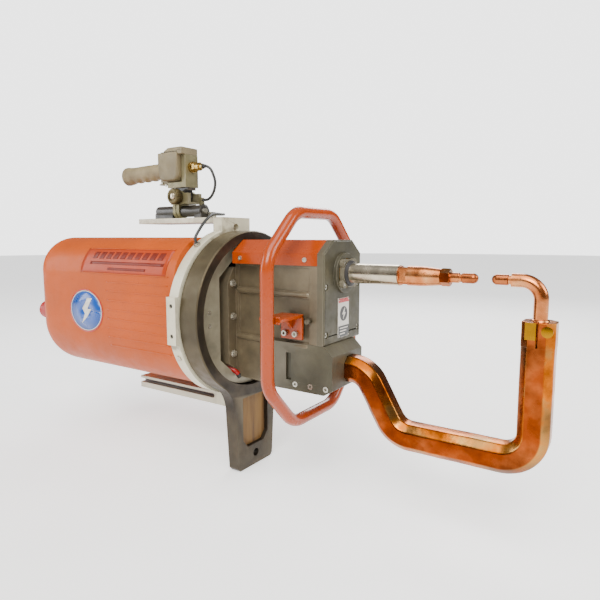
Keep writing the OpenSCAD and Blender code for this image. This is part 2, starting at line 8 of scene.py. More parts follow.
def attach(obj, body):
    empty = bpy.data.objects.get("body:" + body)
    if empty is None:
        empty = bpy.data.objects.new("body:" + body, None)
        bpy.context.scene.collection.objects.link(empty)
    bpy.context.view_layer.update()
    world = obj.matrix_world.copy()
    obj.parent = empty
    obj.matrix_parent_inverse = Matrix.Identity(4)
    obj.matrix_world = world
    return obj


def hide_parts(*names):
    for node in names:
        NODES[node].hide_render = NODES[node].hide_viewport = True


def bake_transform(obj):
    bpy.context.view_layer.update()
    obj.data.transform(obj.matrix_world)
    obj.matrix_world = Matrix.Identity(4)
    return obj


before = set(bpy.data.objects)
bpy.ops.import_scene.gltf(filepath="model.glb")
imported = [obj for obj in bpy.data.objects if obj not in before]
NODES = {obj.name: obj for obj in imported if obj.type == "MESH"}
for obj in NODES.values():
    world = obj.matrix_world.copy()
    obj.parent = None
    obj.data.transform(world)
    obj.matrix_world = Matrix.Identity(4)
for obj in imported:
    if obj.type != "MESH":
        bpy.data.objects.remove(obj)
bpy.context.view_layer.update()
SCENE = bpy.context.scene
SWIVEL_HEIGHT = 285  # mm, from the hanger's eye up to the swivel axis
CAMERA_AZIMUTH = 33.65
CAMERA_ELEVATION = 6.88
CAMERA_PLACE = (0.6493, -0.7962, 0.4329)
CAMERA_LENS = 31.32


def at(x, y, z):
    """Millimetres along X and Y, and above the swivel axis, to metres in the row frame."""
    return Vector((x, y, z + SWIVEL_HEIGHT)) / 1000


# ---------- camera, light, world ----------

def make_camera():
    az, el = math.radians(CAMERA_AZIMUTH), math.radians(CAMERA_ELEVATION)
    right = Vector((math.cos(az), math.sin(az), 0))
    back = Vector((math.sin(az) * math.cos(el), -math.cos(az) * math.cos(el), math.sin(el)))
    up = back.cross(right)
    data = bpy.data.cameras.new("camera")
    data.sensor_width = 36
    data.lens = CAMERA_LENS
    data.clip_start = 0.01
    camera = bpy.data.objects.new("camera", data)
    SCENE.collection.objects.link(camera)
    turn = Matrix((right, up, back)).transposed().to_4x4()
    camera.matrix_world = Matrix.Translation(CAMERA_PLACE) @ turn
    SCENE.camera = camera


def aim(obj, place, target):
    obj.location = place
    obj.rotation_mode = "QUATERNION"
    obj.rotation_quaternion = (Vector(target) - Vector(place)).to_track_quat("-Z", "Y")


def area_light(name, place, target, width, height, power, tint):
    data = bpy.data.lights.new(name, "AREA")
    data.shape = "RECTANGLE"
    data.size, data.size_y = width, height
    data.energy = power
    data.color = tint
    light = bpy.data.objects.new(name, data)
    SCENE.collection.objects.link(light)
    aim(light, place, target)


def make_lights():
    sun = bpy.data.lights.new("sky_fill", "SUN")
    sun.energy = 3.0
    sun.angle = math.radians(50)
    lamp = bpy.data.objects.new("sky_fill", sun)
    SCENE.collection.objects.link(lamp)
    aim(lamp, (0.4, -1.2, 3.0), (0, 0, 0))
    area_light("key", (1.0, -2.2, 2.1), (0, 0, 0.3), 1.6, 1.2, 92, (1.0, 0.97, 0.92))
    area_light("side", (-2.3, -1.5, 1.1), (0, 0, 0.3), 1.2, 1.6, 40, (0.96, 0.98, 1.0))
    area_light("front", (2.4, 0.6, 1.5), (0.1, 0, 0.3), 1.2, 1.2, 46, (1.0, 0.97, 0.93))
    area_light("back", (-0.6, 2.3, 1.8), (0, 0, 0.3), 1.6, 1.2, 60, (1.0, 1.0, 1.0))


def make_world():
    world = bpy.data.worlds.new("studio")
    SCENE.world = world
    world.use_nodes = True
    tree = world.node_tree
    back = tree.nodes["Background"]
    coord = tree.nodes.new("ShaderNodeTexCoord")
    split = tree.nodes.new("ShaderNodeSeparateXYZ")
    ramp = tree.nodes.new("ShaderNodeValToRGB")
    tree.links.new(coord.outputs["Generated"], split.inputs[0])
    tree.links.new(split.outputs["Z"], ramp.inputs[0])
    ramp.color_ramp.elements[0].position = 0.0
    ramp.color_ramp.elements[0].color = (0.08, 0.075, 0.07, 1)
    ramp.color_ramp.elements[1].position = 0.9
    ramp.color_ramp.elements[1].color = (0.55, 0.55, 0.55, 1)
    path = tree.nodes.new("ShaderNodeLightPath")
    mix = tree.nodes.new("ShaderNodeMix")
    mix.data_type = "RGBA"
    tree.links.new(path.outputs["Is Camera Ray"], mix.inputs["Factor"])
    tree.links.new(ramp.outputs["Color"], mix.inputs[6])
    mix.inputs[7].default_value = (3.2, 3.2, 3.2, 1)
    tree.links.new(mix.outputs[2], back.inputs["Color"])
    back.inputs["Strength"].default_value = 1.0


# ---------- materials ----------

def linear(rgb):
    """A 0-255 display colour as a linear one, deepened to suit the bright studio light."""
    flat = [(c / 255 / 12.92) if c <= 10 else ((c / 255 + 0.055) / 1.055) ** 2.4 for c in rgb]
    grey = 0.3 * flat[0] + 0.6 * flat[1] + 0.1 * flat[2]
    return tuple(max(0.0, (grey + (c - grey) * 1.22) * 0.62) for c in flat) + (1.0,)


class Surface:
    """A procedural material built from noise in the object's own coordinates."""

    def __init__(self, name, rough=0.5, metal=0.0, coat=0.0, coat_rough=0.15):
        self.material = bpy.data.materials.new(name)
        self.material.use_nodes = True
        self.tree = self.material.node_tree
        self.shader = self.tree.nodes["Principled BSDF"]
        self.shader.inputs["Metallic"].default_value = metal
        self.shader.inputs["Roughness"].default_value = rough
        self.shader.inputs["Coat Weight"].default_value = coat
        self.shader.inputs["Coat Roughness"].default_value = coat_rough
        self.coord = self.tree.nodes.new("ShaderNodeTexCoord")
        self.normal = None

    def plug(self, source, socket):
        if isinstance(source, (int, float)):
            socket.default_value = source
        elif isinstance(source, tuple):
            socket.default_value = source
        else:
            self.tree.links.new(source, socket)

    def noise(self, scale, detail=3.0, stretch=(1, 1, 1), rough=0.55):
        mapping = self.tree.nodes.new("ShaderNodeMapping")
        mapping.inputs["Scale"].default_value = stretch
        self.plug(self.coord.outputs["Object"], mapping.inputs["Vector"])
        node = self.tree.nodes.new("ShaderNodeTexNoise")
        node.inputs["Scale"].default_value = scale
        node.inputs["Detail"].default_value = detail
        node.inputs["Roughness"].default_value = rough
        self.plug(mapping.outputs["Vector"], node.inputs["Vector"])
        return node.outputs["Fac"]

    def cells(self, scale):
        node = self.tree.nodes.new("ShaderNodeTexVoronoi")
        node.inputs["Scale"].default_value = scale
        self.plug(self.coord.outputs["Object"], node.inputs["Vector"])
        return node.outputs["Distance"]

    def ramp(self, value, stops):
        node = self.tree.nodes.new("ShaderNodeValToRGB")
        while len(node.color_ramp.elements) < len(stops):
            node.color_ramp.elements.new(0.5)
        for element, (place, colour) in zip(node.color_ramp.elements, stops):
            element.position = place
            element.color = colour if len(colour) == 4 else linear(colour)
        self.plug(value, node.inputs[0])
        return node.outputs["Color"]

    def mix(self, factor, a, b):
        node = self.tree.nodes.new("ShaderNodeMix")
        node.data_type = "RGBA"
        self.plug(factor, node.inputs[0])
        self.plug(a, node.inputs[6])
        self.plug(b, node.inputs[7])
        return node.outputs[2]

    def calc(self, kind, a, b=0.5):
        node = self.tree.nodes.new("ShaderNodeMath")
        node.operation = kind
        self.plug(a, node.inputs[0])
        self.plug(b, node.inputs[1])
        return node.outputs[0]

    def between(self, value, low, high, out_low, out_high):
        node = self.tree.nodes.new("ShaderNodeMapRange")
        for socket, number in zip(list(node.inputs)[1:5], (low, high, out_low, out_high)):
            socket.default_value = number
        self.plug(value, node.inputs[0])
        return node.outputs[0]

    def axes(self, source="Object"):
        node = self.tree.nodes.new("ShaderNodeSeparateXYZ")
        self.plug(self.coord.outputs[source], node.inputs[0])
        return node.outputs

    def edges(self, low, high):
        node = self.tree.nodes.new("ShaderNodeNewGeometry")
        return self.between(node.outputs["Pointiness"], low, high, 0.0, 1.0)

    def bump(self, height, strength, distance=0.001):
        node = self.tree.nodes.new("ShaderNodeBump")
        node.inputs["Strength"].default_value = strength
        node.inputs["Distance"].default_value = distance
        self.plug(height, node.inputs["Height"])
        if self.normal is not None:
            self.plug(self.normal, node.inputs["Normal"])
        self.normal = node.outputs["Normal"]

    def done(self, colour, rough=None):
        self.plug(colour, self.shader.inputs["Base Color"])
        if rough is not None:
            self.plug(rough, self.shader.inputs["Roughness"])
        if self.normal is not None:
            self.plug(self.normal, self.shader.inputs["Normal"])
        return self.material


def shade(rgb, factor):
    return tuple(min(255, c * factor) for c in rgb)


def painted(name, rgb, rough=0.4, coat=0.3, peel=0.12, wear=None, spread=0.10, shine=0.35, specks=0.35):
    """Powder coat: slow tone drift, orange peel, dust specks, and wear at the edges."""
    s = Surface(name, rough=rough, coat=coat, coat_rough=0.12)
    s.shader.inputs["Specular IOR Level"].default_value = shine
    drift = s.noise(9, 4)
    colour = s.ramp(drift, [(0.25, shade(rgb, 1 - spread)), (0.5, rgb), (0.75, shade(rgb, 1 + spread))])
    dust = s.ramp(s.noise(260, 2), [(0.30, (1, 1, 1, 1)), (0.38, (0, 0, 0, 1))])
    colour = s.mix(s.calc("MULTIPLY", dust, specks), colour, linear(shade(rgb, 0.72)))
    if wear:
        colour = s.mix(s.calc("MULTIPLY", s.edges(0.53, 0.60), s.between(s.noise(60, 4), 0.4, 0.6, 0, 0.8)),
                       colour, linear(wear))
    s.bump(s.noise(420, 2), peel, 0.0006)
    return s.done(colour, s.between(s.noise(35, 4), 0.3, 0.7, rough - 0.07, rough + 0.09))


def cast(name, rgb, rough=0.55, metal=0.35, grain=0.3, wear=(190, 180, 160)):
    """Painted or bare casting: sand grain, soft pits, polished edges."""
    s = Surface(name, rough=rough, metal=metal)
    tone = s.ramp(s.noise(22, 6), [(0.25, shade(rgb, 0.78)), (0.5, rgb), (0.75, shade(rgb, 1.18))])
    grime = s.between(s.noise(6, 5, (1, 1, 0.5)), 0.45, 0.7, 0.0, 0.45)
    tone = s.mix(grime, tone, linear(shade(rgb, 0.62)))
    tone = s.mix(s.calc("MULTIPLY", s.edges(0.53, 0.60), 0.32), tone, linear(wear))
    s.bump(s.noise(520, 4), grain, 0.0008)
    s.bump(s.cells(180), grain * 0.35, 0.0008)
    return s.done(tone, s.between(s.noise(70, 4), 0.3, 0.7, rough - 0.1, rough + 0.12))


def metal(name, rgb, rough=0.25, along=(1, 1, 1), streak=0.12, tint=None, spread=0.12, scale=28):
    """Bare metal: tone drift, fine drawn or turned lines, smudged gloss."""
    s = Surface(name, rough=rough, metal=1.0)
    tone = s.ramp(s.noise(scale, 5), [(0.25, shade(rgb, 1 - spread)), (0.5, rgb), (0.75, shade(rgb, 1 + spread))])
    if tint:
        tone = s.mix(s.between(s.noise(scale * 0.6, 4), 0.42, 0.66, 0.0, 0.75), tone, linear(tint))
    lines = s.noise(700, 2, along)
    s.bump(lines, streak, 0.0004)
    return s.done(tone, s.between(s.noise(45, 5, along), 0.3, 0.7, rough - 0.08, rough + 0.12))


def rubber(name, rgb, rough=0.7, grain=0.35, scale=600):
    s = Surface(name, rough=rough)
    tone = s.ramp(s.noise(40, 5), [(0.25, shade(rgb, 0.8)), (0.5, rgb), (0.75, shade(rgb, 1.2))])
    tone = s.mix(s.calc("MULTIPLY", s.edges(0.52, 0.60), 0.4), tone, linear(shade(rgb, 1.5)))
    s.bump(s.noise(scale, 3), grain, 0.0006)
    return s.done(tone, s.between(s.noise(60, 3), 0.3, 0.7, rough - 0.08, rough + 0.1))


def ring_finish():
    """Dark casting with a turned golden-grey band around the ring."""
    s = Surface("dark_casting", rough=0.45, metal=0.6)
    face = s.ramp(s.noise(24, 6), [(0.25, (40, 35, 29)), (0.5, (58, 51, 42)), (0.75, (80, 70, 56))])
    band = s.ramp(s.noise(5, 3, (0.2, 1, 1)), [(0.3, (60, 53, 41)), (0.5, (98, 88, 68)), (0.72, (150, 137, 108))])
    xyz = s.axes()
    up = s.calc("SUBTRACT", xyz["Z"], 0.285)
    radius = s.calc("SQRT", s.calc("ADD", s.calc("MULTIPLY", xyz["Y"], xyz["Y"]), s.calc("MULTIPLY", up, up)))
    outer = s.between(radius, 0.1576, 0.1584, 0.0, 1.0)
    ring_only = s.between(up, -0.140, -0.128, 0.0, 1.0)
    mask = s.calc("MULTIPLY", outer, ring_only)
    tone = s.mix(mask, face, band)
    tone = s.mix(s.calc("MULTIPLY", s.edges(0.53, 0.60), 0.5), tone, linear((150, 138, 116)))
    s.bump(s.noise(460, 4), 0.22, 0.0008)
    return s.done(tone, s.between(s.noise(60, 4), 0.3, 0.7, 0.34, 0.56))


def laminate():
    """Tan wood-like laminate with upright grain."""
    s = Surface("phenolic", rough=0.62)
    grain = s.noise(55, 6, (1, 1, 0.08))
    tone = s.ramp(grain, [(0.30, (60, 42, 24)), (0.48, (112, 82, 46)), (0.62, (138, 106, 64)), (0.8, (86, 60, 34))])
    tone = s.mix(s.between(s.noise(14, 4), 0.4, 0.7, 0, 0.5), tone, linear((112, 88, 56)))
    s.bump(grain, 0.5, 0.001)
    s.bump(s.noise(400, 3), 0.2, 0.0006)
    return s.done(tone)


def rail_finish():
    """Cream paint outside; within the slots a dark red-brown painted shade with a painted reflection of the orange
    cover.
    """
    s = Surface("cream_rail", rough=0.36, coat=0.35)
    cream = s.ramp(s.noise(10, 4), [(0.25, (196, 188, 165)), (0.5, (220, 214, 192)), (0.75, (234, 228, 208))])
    # painted shade and painted reflection of the orange cover, laid on the faces within the slots
    slot_shade_and_reflection = s.ramp(s.noise(60, 4), [(0.3, (58, 26, 18)), (0.7, (92, 44, 30))])
    xyz = s.axes()
    depth = s.between(s.calc("ABSOLUTE", xyz["Y"], 0.0), 0.0414, 0.0418, 1.0, 0.0)
    low = s.between(xyz["Z"], 0.1108, 0.1112, 0.0, 1.0)
    high = s.between(xyz["Z"], 0.1202, 0.1206, 1.0, 0.0)
    mask = s.calc("MULTIPLY", depth, s.calc("MULTIPLY", low, high))
    tone = s.mix(mask, cream, slot_shade_and_reflection)
    s.bump(s.noise(420, 2), 0.12, 0.0006)
    return s.done(tone, s.between(s.noise(35, 4), 0.3, 0.7, 0.28, 0.46))


def arm_copper():
    """Bent copper bar: matt orange sides, a painted golden highlight on the corners and every face that does not look
    sideways, dark heat stains.
    """
    s = Surface("copper_gold", rough=0.3, metal=1.0)
    flat = s.ramp(s.noise(16, 6), [(0.25, (92, 40, 26)), (0.5, (156, 78, 50)), (0.75, (206, 122, 82))])
    # painted highlight: this golden tone goes on every face whose normal is not along Y; the sideways faces keep the
    # plain copper tone
    bright = s.ramp(s.noise(26, 5), [(0.28, (112, 54, 30)), (0.5, (208, 122, 68)), (0.74, (255, 208, 142))])
    side = s.calc("ABSOLUTE", s.axes("Normal")["Y"], 0.0)
    mask = s.between(side, 0.80, 0.97, 1.0, 0.0)
    tone = s.mix(mask, flat, bright)
    stain = s.between(s.noise(13, 6, (1, 1, 1)), 0.46, 0.64, 0.0, 0.8)
    tone = s.mix(stain, tone, linear((70, 32, 20)))
    s.bump(s.noise(34, 3), 0.35, 0.0022)
    s.bump(s.noise(600, 2), 0.10, 0.0004)
    return s.done(tone, s.between(s.noise(30, 5), 0.3, 0.7, 0.16, 0.34))


def turned_copper():
    s = Surface("copper", rough=0.22, metal=1.0)
    tone = s.ramp(s.noise(30, 5), [(0.25, (172, 98, 66)), (0.5, (234, 156, 112)), (0.75, (255, 204, 158))])
    tone = s.mix(s.between(s.noise(14, 5), 0.5, 0.7, 0.0, 0.5), tone, linear((140, 70, 42)))
    s.bump(s.noise(900, 2, (1, 0.1, 0.1)), 0.14, 0.0004)
    s.bump(s.noise(60, 3), 0.12, 0.001)
    return s.done(tone, s.between(s.noise(40, 5), 0.3, 0.7, 0.16, 0.36))


def knurled_plastic():
    s = Surface("grip_plastic", rough=0.58)
    tone = s.ramp(s.noise(30, 5), [(0.25, (112, 99, 74)), (0.5, (144, 130, 100)), (0.75, (166, 152, 120))])
    tone = s.mix(s.calc("MULTIPLY", s.edges(0.51, 0.56), 0.4), tone, linear((176, 163, 134)))
    s.bump(s.cells(900), 0.35, 0.0006)
    s.bump(s.noise(200, 3), 0.18, 0.0008)
    return s.done(tone, s.between(s.noise(50, 4), 0.3, 0.7, 0.5, 0.68))


FINISH = {
    "dark_casting": ring_finish(),
    "phenolic": laminate(),
    "bearing_steel": metal("bearing_steel", (196, 196, 200), 0.14),
    "hub_metal": cast("hub_metal", (172, 166, 146), 0.40, 0.35, 0.14),
    "screw_steel": cast("screw_steel", (226, 220, 206), 0.24, 0.8, 0.06),
    "cream_paint": painted("cream_paint", (238, 232, 208), 0.36, 0.35, wear=(150, 140, 120), spread=0.05),
    "orange_shell": painted("orange_shell", (194, 96, 26), 0.46, 0.06, 0.10, spread=0.06, shine=0.16),
    "orange_gloss": painted("orange_gloss", (174, 79, 9), 0.26, 0.3, 0.03, spread=0.05, shine=0.25, specks=0.08),
    "red_plastic": painted("red_plastic", (170, 48, 16), 0.42, 0.1, 0.10, shine=0.25),
    "core_steel": metal("core_steel", (92, 94, 98), 0.5, (0.05, 1, 1), 0.3),
    "coil_varnish": painted("coil_varnish", (120, 60, 30), 0.35, 0.5, 0.3, spread=0.2),
    "copper": turned_copper(),
    "copper_cap": metal("copper_cap", (204, 128, 92), 0.26, (1, 0.1, 0.1), 0.12, (112, 62, 44)),
    "copper_gold": arm_copper(),
    "bronze": metal("bronze", (196, 148, 74), 0.3, (1, 0.1, 0.1), 0.15, (150, 108, 50)),
    "cylinder_alu": metal("cylinder_alu", (168, 170, 172), 0.34, (0.05, 1, 1), 0.2),
    "taupe_casting": cast("taupe_casting", (118, 107, 88), 0.42, 0.4, 0.24),
    "plate_paint": cast("plate_paint", (80, 76, 60), 0.44, 0.3, 0.2),
    "rod_chrome": metal("rod_chrome", (236, 224, 202), 0.2, (1, 0.05, 0.05), 0.06, (204, 190, 166), 0.05),
    "black_rubber": rubber("black_rubber", (34, 32, 32), 0.6),
    "black_paint": painted("black_paint", (46, 43, 40), 0.36, 0.3, 0.12, wear=(120, 110, 96), spread=0.15),
    "yoke_metal": cast("yoke_metal", (150, 143, 112), 0.4, 0.45, 0.18),
    "knob_metal": metal("knob_metal", (118, 108, 84), 0.34, (1, 0.1, 1), 0.2, (96, 84, 62)),
    "box_plastic": cast("box_plastic", (134, 122, 95), 0.5, 0.15, 0.24),
    "grip_plastic": knurled_plastic(),
    "gland_brass": metal("gland_brass", (236, 212, 158), 0.2, (1, 0.1, 0.1), 0.1, (196, 160, 100)),
    "cable_black": rubber("cable_black", (46, 46, 44), 0.5, 0.2, 900),
}
RAIL = rail_finish()
BLUE = painted("badge_blue", (20, 84, 170), 0.3, 0.5, 0.05, spread=0.05)
WHITE = painted("badge_white", (236, 232, 222), 0.35, 0.4, 0.05, spread=0.04)
RED = painted("badge_red", (196, 44, 34), 0.32, 0.4, 0.05, spread=0.06)
BLACK = painted("label_black", (26, 25, 25), 0.35, 0.4, 0.05, spread=0.1)
PANEL = painted("panel_orange", (176, 74, 20), 0.40, 0.08, 0.06, spread=0.05, shine=0.2)
PRINT = painted("print_brown", (116, 42, 28), 0.45, 0.05, 0.05, spread=0.1, shine=0.2)
# dark rubber for the gasket, strain relief, socket insert and hose end; the same material fills the pad holes as
# painted shade
DARK_RUBBER_AND_HOLE_SHADE = rubber("gasket", (30, 28, 27), 0.62)
HOSE_RED = rubber("hose_red", (150, 36, 28), 0.45, 0.2)
STEEL_DULL = metal("dull_steel", (128, 122, 108), 0.42, streak=0.2)


def finish_nodes():
    """Give each CAD node the finish of its own slot."""
    for obj in NODES.values():
        slot = obj.data.materials[0].name.split(".")[0]
        obj.data.materials[0] = FINISH[slot]
    NODES["bottom_rail"].data.materials[0] = RAIL


def soften(name, width, angle=32):
    """Bevel and even normals on a CAD node; its own mesh stays as it is."""
    obj = NODES[name]
    weld = obj.modifiers.new("weld", "WELD")
    weld.merge_threshold = 0.00002
    bevel = obj.modifiers.new("bevel", "BEVEL")
    bevel.width = width / 1000
    bevel.segments = 2
    bevel.limit_method = "ANGLE"
    bevel.angle_limit = math.radians(angle)
    bevel.use_clamp_overlap = True
    bevel.harden_normals = False
    normal = obj.modifiers.new("normals", "WEIGHTED_NORMAL")
    normal.keep_sharp = True
    for polygon in obj.data.polygons:
        polygon.use_smooth = True


# ---------- mesh helpers ----------

def make(name, points, faces, material, body, slot, bevel=0.0, segments=2, smooth=35, replaces=()):
    mesh = bpy.data.meshes.new(name)
    mesh.from_pydata([tuple(p) for p in points], [], [tuple(f) for f in faces])
    work = bmesh.new()
    work.from_mesh(mesh)
    bmesh.ops.recalc_face_normals(work, faces=work.faces)
    work.to_mesh(mesh)
    work.free()
    return dress(name, mesh, material, body, bevel, segments, smooth, replaces)


def dress(name, mesh, material, body, bevel=0.0, segments=2, smooth=35, replaces=()):
    mesh.materials.append(material)
    obj = bpy.data.objects.new(name, mesh)
    SCENE.collection.objects.link(obj)
    for polygon in mesh.polygons:
        polygon.use_smooth = True
    mesh.set_sharp_from_angle(angle=math.radians(smooth))
    if bevel:
        tool = obj.modifiers.new("bevel", "BEVEL")
        tool.width = bevel / 1000
        tool.segments = segments
        tool.limit_method = "ANGLE"
        tool.angle_limit = math.radians(30)
        even = obj.modifiers.new("normals", "WEIGHTED_NORMAL")
        even.keep_sharp = False
    if body:
        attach(obj, body)
    if replaces:
        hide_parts(*replaces)
    return obj


def hull(name, points, material, body, bevel=1.0, segments=2, replaces=()):
    work = bmesh.new()
    for p in points:
        work.verts.new(at(*p))
    made = bmesh.ops.convex_hull(work, input=list(work.verts))
    loose = [g for g in made["geom_interior"] + made["geom_unused"] if isinstance(g, bmesh.types.BMVert)]
    bmesh.ops.delete(work, geom=list(set(loose)), context="VERTS")
    bmesh.ops.dissolve_limit(work, angle_limit=0.01, verts=list(work.verts), edges=list(work.edges))
    bmesh.ops.recalc_face_normals(work, faces=work.faces)
    mesh = bpy.data.meshes.new(name)
    work.to_mesh(mesh)
    work.free()
    return dress(name, mesh, material, body, bevel, segments, 30, replaces)


def corners(x0, x1, y0, y1, z0, z1):
    return [(x, y, z) for x in (x0, x1) for y in (y0, y1) for z in (z0, z1)]


def disc_points(x, y, z, r, axis="X", count=24):
    ring = []
    for i in range(count):
        c, s = r * math.cos(2 * math.pi * i / count), r * math.sin(2 * math.pi * i / count)
        ring.append({"X": (x, y + c, z + s), "Y": (x + c, y, z + s), "Z": (x + c, y + s, z)}[axis])
    return ring


def loft(name, rings, material, body, slot, caps=(True, True), closed=False, **more):
    """Skins rings of metre points that all have the same count."""
    count = len(rings[0])
    points = [p for ring in rings for p in ring]
    faces = []
    for i in range(len(rings) if closed else len(rings) - 1):
        j = (i + 1) % len(rings)
        for k in range(count):
            m = (k + 1) % count
            faces.append((i * count + k, i * count + m, j * count + m, j * count + k))
    if caps[0] and not closed:
        faces.append(tuple(range(count)))
    if caps[1] and not closed:
        faces.append(tuple((len(rings) - 1) * count + k for k in range(count)))
    return make(name, points, faces, material, body, slot, **more)


def lathe(name, origin, axis, profile, material, body, slot, count=48, ripple=None, **more):
    """Turns a profile of (radius, height) about an axis through origin, in millimetres."""
    a = Vector(axis).normalized()
    side = a.orthogonal().normalized()
    other = a.cross(side)
    rings = []
    for r, h in profile:
        ring = []
        for i in range(count):
            t = 2 * math.pi * i / count
            rr = r + (ripple(t, r, h) if ripple else 0)
            ring.append(at(*origin) + (a * h + (side * math.cos(t) + other * math.sin(t)) * rr) / 1000)
        rings.append(ring)
    return loft(name, rings, material, body, slot, **more)


def smooth_route(route, steps=6):
    """Catmull-Rom points through a route given in millimetres."""
    pts = [at(*p) for p in route]
    pts = [2 * pts[0] - pts[1]] + pts + [2 * pts[-1] - pts[-2]]
    out = []
    for i in range(1, len(pts) - 2):
        for k in range(steps):
            t = k / steps
            p0, p1, p2, p3 = pts[i - 1:i + 3]
            out.append(0.5 * ((2 * p1) + (p2 - p0) * t + (2 * p0 - 5 * p1 + 4 * p2 - p3) * t * t
                              + (3 * p1 - p0 - 3 * p2 + p3) * t ** 3))
    out.append(pts[-2])
    return out


def tube(name, path, radius, material, body, slot, count=16, closed=False, section=None, **more):
    """A round tube, or a flat section, carried along a path without twisting."""
    n = len(path)
    def way(i):
        if closed:
            return (path[(i + 1) % n] - path[(i - 1) % n]).normalized()
        return (path[min(i + 1, n - 1)] - path[max(i - 1, 0)]).normalized()
    frame_side = way(0).orthogonal().normalized() if section is None else Vector((0, 1, 0))
    rings = []
    before = way(0)
    for i in range(n):
        d = way(i)
        frame_side.rotate(before.rotation_difference(d))
        before = d
        up = d.cross(frame_side).normalized()
        shape = section or [(radius * math.cos(2 * math.pi * k / count), radius * math.sin(2 * math.pi * k / count))
                            for k in range(count)]
        rings.append([path[i] + (frame_side * u + up * v) / 1000 for u, v in shape])
    return loft(name, rings, material, body, slot, closed=closed, **more)


def bend_route(corners_2d, radius, place, closed=False, steps=10, straight=6):
    """Rounds the corners of a 2D route; place turns a 2D point into row millimetres."""
    pts = [Vector(c) for c in corners_2d]
    n = len(pts)
    out = []
    for i in range(n):
        if not closed and i in (0, n - 1):
            out.append(pts[i])
            continue
        a, b, c = pts[i - 1], pts[i], pts[(i + 1) % n]
        u, v = (b - a).normalized(), (c - b).normalized()
        turn = math.atan2(u.x * v.y - u.y * v.x, u.dot(v))
        trim = radius * math.tan(abs(turn) / 2)
        start = b - u * trim
        normal = Vector((-u.y, u.x)) * (1 if turn > 0 else -1)
        centre = start + normal * radius
        for k in range(steps + 1):
            t = turn * k / steps
            arm = start - centre
            out.append(centre + Vector((arm.x * math.cos(t) - arm.y * math.sin(t),
                                        arm.x * math.sin(t) + arm.y * math.cos(t))))
    dense = []
    m = len(out)
    for i in range(m if closed else m - 1):
        p, q = out[i], out[(i + 1) % m]
        parts = max(1, int((q - p).length / straight))
        dense += [p + (q - p) * k / parts for k in range(parts)]
    if not closed:
        dense.append(out[-1])
    return [at(*place(p.x, p.y)) for p in dense]


# ---------- hanger ----------

def make_hanger():
    """The ring and its leg as the one casting that they are."""
    work = bmesh.new()
    for name in ("hanger_ring", "hanger_leg"):
        work.from_mesh(NODES[name].data)
    split = 0.285 - 0.232
    inner = [f for f in work.faces if all(abs(v.co.z - split) < 1e-5 for v in f.verts)]
    bmesh.ops.delete(work, geom=inner, context="FACES_ONLY")
    bmesh.ops.remove_doubles(work, verts=work.verts, dist=0.00003)
    bmesh.ops.dissolve_limit(work, angle_limit=0.002, verts=work.verts, edges=work.edges)
    mesh = bpy.data.meshes.new("hanger_casting")
    work.to_mesh(mesh)
    work.free()
    dress("hanger_casting", mesh, FINISH["dark_casting"], "hanger", 1.2, 2, 30,
          ("hanger_ring", "hanger_leg"))


# ---------- rear cover ----------

COVER_ARCS = [((70, 72), 75), ((42, -39), 103), ((-42, -39), 103), ((-70, 72), 75)]


def cover_outline(count=168):
    """Outline points and outward normals, from the top centre round by -Y, evenly spaced."""
    raw = []
    for i in range(1440):
        t = math.pi / 2 + 2 * math.pi * i / 1440
        n = Vector((math.cos(t), math.sin(t)))
        c, r = max(COVER_ARCS, key=lambda arc: Vector(arc[0]).dot(n) + arc[1])
        raw.append((Vector(c) + n * r, n))
    raw[0] = (Vector((0, 147)), Vector((0, 1)))
    raw.append(raw[0])
    lengths = [0.0]
    for a, b in zip(raw, raw[1:]):
        lengths.append(lengths[-1] + (b[0] - a[0]).length)
    total = lengths[-1]
    out = []
    j = 0
    for k in range(count):
        goal = total * k / count
        while lengths[j + 1] < goal:
            j += 1
        f = (goal - lengths[j]) / max(1e-9, lengths[j + 1] - lengths[j])
        a, b = raw[j], raw[j + 1]
        out.append((a[0].lerp(b[0], f), a[1].lerp(b[1], f).normalized(), goal))
    return out, total


OUTLINE, ROUND = cover_outline()


def on_cover(x, s, lift=0.0):
    """A point on the cover's straight part: s millimetres round from the top centre towards -Y."""
    k = s / ROUND * len(OUTLINE)
    i = int(math.floor(k)) % len(OUTLINE)
    f = k - math.floor(k)
    a, b = OUTLINE[i], OUTLINE[(i + 1) % len(OUTLINE)]
    p = a[0].lerp(b[0], f) + a[1].lerp(b[1], f).normalized() * lift
    return at(x, p.x, p.y)


def cover_ring(x, inset):
    """The cover's outline at one X, moved inwards."""
    return [at(x, p.x - n.x * inset, p.y - n.y * inset) for p, n, _ in OUTLINE]


def make_cover():
    rows = [(-54.2, 34), (-54.2, 0.8), (-55, 0), (-66, 0)]
    rows += [(x, 0) for x in range(-80, -450, -18)] + [(-458, 0)]
    for k in range(1, 17):
        a = k * 90 / 16
        rows.append((-458 - 56 * math.sin(math.radians(a)), 56 * (1 - math.cos(math.radians(a)))))
    rows += [(-514, 60), (-513.2, 61), (-513.2, 63), (-514, 64), (-514, 74)]
    loft("cover_shell", [cover_ring(x, i) for x, i in rows], FINISH["orange_shell"], "gun", "orange_shell",
         caps=(False, True), smooth=40, replaces=("rear_cover",))


def patch(name, rows, lift, material, body="gun", slot="orange_shell", thick=0.35):
    """A sheet on the cover from rows of (x, s) points that all have the same count."""
    count = len(rows[0])
    points = [on_cover(x, s, lift) for row in rows for x, s in row]
    faces = [(i * count + k, i * count + k + 1, (i + 1) * count + k + 1, (i + 1) * count + k)
             for i in range(len(rows) - 1) for k in range(count - 1)]
    obj = make(name, points, faces, material, None, slot, smooth=50)
    if obj.data.polygons[len(obj.data.polygons) // 2].normal.y > 0:
        obj.data.flip_normals()
    solid = obj.modifiers.new("solid", "SOLIDIFY")
    solid.thickness = thick / 1000
    solid.offset = -1
    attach(obj, body)
    return obj


